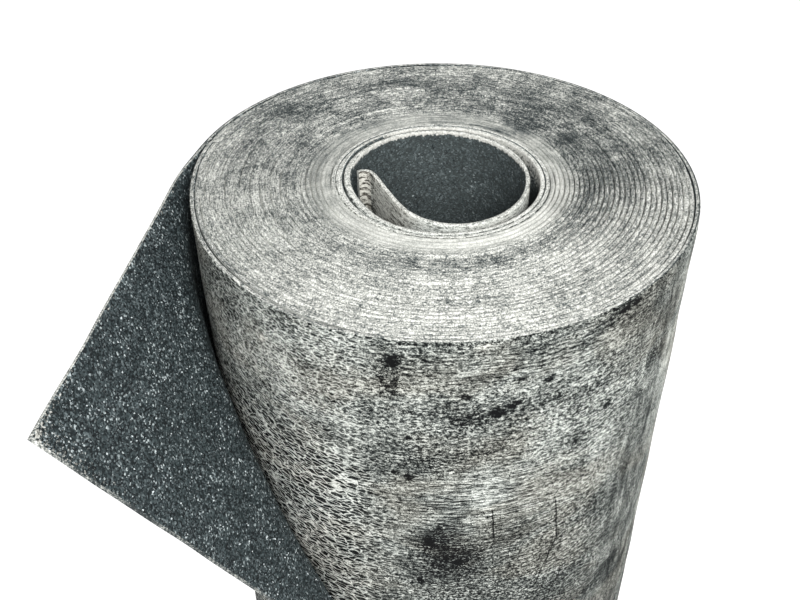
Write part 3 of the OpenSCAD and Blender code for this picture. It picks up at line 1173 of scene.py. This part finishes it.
# %% Chips
# The palest stop is for the pale chips: partly their own colour, partly a painted glint.
CHIP_TONES = [
    (0.0, (26, 32, 34)), (0.5, (68, 78, 80)), (0.8, (118, 128, 131)), (1.0, (216, 224, 226)),
]
LUMP = np.array([[1, 0, 0], [-1, 0, 0], [0, 1, 0], [0, -1, 0], [0, 0, 1], [0, 0, -1]]) * [1.0, 0.8, 0.6]
LUMP_FACES = np.array([
    [0, 2, 4], [2, 1, 4], [1, 3, 4], [3, 0, 4], [2, 0, 5], [1, 2, 5], [3, 1, 5], [0, 3, 5],
])
# Half a chip's length, at least and at most, and the share of it by which the chip stands out
CHIP_LEAST, CHIP_MOST, CHIP_RISE = 0.28 * MM, 0.62 * MM, 0.2


def chip_finish():
    """Slate chips: each chip's own shade, from nearly black to pale, where the palest stand in for glints
    as painted highlights.
    """
    material, tree, shader = new_finish("slate_chips", 0.55, 0.4)
    colour = tones(tree, kept(tree, "shade"), CHIP_TONES)
    tree.links.new(colour, shader.inputs["Base Color"])
    return material


slate_chips = chip_finish()


def random_turns(rng, count):
    """Rotation matrices (3, 3, count) from random unit quaternions."""
    drawn = rng.normal(size=(4, count))
    w, x, y, z = drawn / np.linalg.norm(drawn, axis=0)
    return np.array([
        [1 - 2 * (y * y + z * z), 2 * (x * y - w * z), 2 * (x * z + w * y)],
        [2 * (x * y + w * z), 1 - 2 * (x * x + z * z), 2 * (y * z - w * x)],
        [2 * (x * z - w * y), 2 * (y * z + w * x), 1 - 2 * (x * x + y * y)],
    ])


def strew(name, grid, up_to, count, seed, wanted, painted_glint):
    """Chips on a grid of points: a place is blended from the four points round it.

    grid (along, up, 3) is the face; up_to gives the row at a share of the way up; wanted picks
    which of the drawn places, given as fractional columns and rows, get a chip; glint is the share
    of chips that are pale."""
    rng = np.random.default_rng(seed)
    col = rng.uniform(0, grid.shape[0] - 1.001, count)
    row = up_to(rng.uniform(0, 1, count))
    keep = wanted(col, row)
    col, row = col[keep], row[keep]
    i, j = col.astype(int), row.astype(int)
    u, v = (col - i)[:, None], (row - j)[:, None]
    low = grid[i, j] * (1 - u) + grid[i + 1, j] * u
    high = grid[i, j + 1] * (1 - u) + grid[i + 1, j + 1] * u
    out = np.cross(grid[i, j + 1] - grid[i, j], grid[i + 1, j] - grid[i, j])
    out /= np.linalg.norm(out, axis=1, keepdims=True)
    size = rng.uniform(CHIP_LEAST, CHIP_MOST, len(i))
    lumps = np.einsum("abm,kb->mka", random_turns(rng, len(i)), LUMP) * size[:, None, None]
    points = (low * (1 - v) + high * v + CHIP_RISE * size[:, None] * out)[:, None] + lumps
    faces = (LUMP_FACES[None] + len(LUMP) * np.arange(len(i))[:, None, None]).reshape(-1, 3)
    shade = np.clip(rng.normal(0.32, 0.16, len(i)), 0, 1)
    # A share of the chips is made pale: partly the grains' own colour, partly a painted glint.
    shade = np.where(rng.uniform(size=len(i)) < painted_glint, rng.uniform(0.75, 1.0, len(i)), shade)
    mesh = bpy.data.meshes.new(name)
    mesh.from_pydata(points.reshape(-1, 3), [], faces)
    keep_at_points(mesh, "shade", np.repeat(shade, len(LUMP)).astype(np.float32))
    mesh.materials.append(slate_chips)
    print(name, len(i), "chips,", len(faces), "triangles")
    return place_piece(name, mesh)


print("a chip has", len(LUMP), "points and", len(LUMP_FACES), "faces")

# %% [markdown]
# ## Chips on the corner and in the bore
# Places are drawn evenly by depth, so that the chips don't crowd where the grid's rows are close.
# On the corner those are kept that stand clear of the roll, and in the bore all of them are kept,
# down to where it can be looked into. Only the corner's chips get the pale shade that is partly a
# painted glint.

# %% Chips on the corner and in the bore
CORNER_DRAWN, CORNER_PAINTED_GLINT, CORNER_CLEAR = 30000, 0.06, 4 * MM
BORE_DRAWN, BORE_PAINTED_GLINT = 12000, 0.0
BORE_COLS = slice(6, 140)
BORE_CHIPS_FROM, BORE_CHIPS_TO = 2 * MM, 122 * MM
EDGE_ROWS = 3


def gritted_grid(points, grid):
    """The gritted face of a sheet's skin, as a grid (along, up, 3)."""
    n, k = grid
    return points[n * k : 2 * n * k].reshape(n, k, 3)


def rows_down(share, first, last, heights):
    """Rows of a sheet, evenly by depth from first to last, away from its edges."""
    row = np.interp(ROLL_W - first - share * (last - first), heights, np.arange(len(heights)))
    return np.clip(row, EDGE_ROWS, len(heights) - EDGE_ROWS - 1.001)


def corner_rows(share):
    """Rows of the corner, from the top down to its foot."""
    return rows_down(share, 0, FOOT_DEPTH, last_z)


def on_corner(col, row):
    """True where the corner stands clear of the roll."""
    return stand_off[col.astype(int), row.astype(int)] > CORNER_CLEAR


def bore_rows(share):
    """Rows of the bore's wall, over the part that can be looked into."""
    return rows_down(share, BORE_CHIPS_FROM, BORE_CHIPS_TO, inner_z)


def everywhere(col, row):
    """True for each place that was drawn."""
    return np.ones(len(col), bool)


corner_face = gritted_grid(last_points, last_grid)[-LOOSE_COLS:]
bore_face = gritted_grid(inner_points, inner_grid)[BORE_COLS]
strew("corner_grit", corner_face, corner_rows, CORNER_DRAWN, 21, on_corner, CORNER_PAINTED_GLINT)
strew("bore_grit", bore_face, bore_rows, BORE_DRAWN, 22, everywhere, BORE_PAINTED_GLINT)

# %% [markdown]
# ## The size
# The looks must not change the object's size, so the box of what is shown is set beside the
# CAD box, and their difference is printed.

# %% The size
seen_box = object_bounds()
boxes = {"cad": [list(map(float, c)) for c in cad_box], "visual": [list(map(float, c)) for c in seen_box]}
difference = (np.array(boxes["visual"]) - np.array(boxes["cad"])) / MM
print("visual minus CAD, mm:", difference.round(1).tolist())
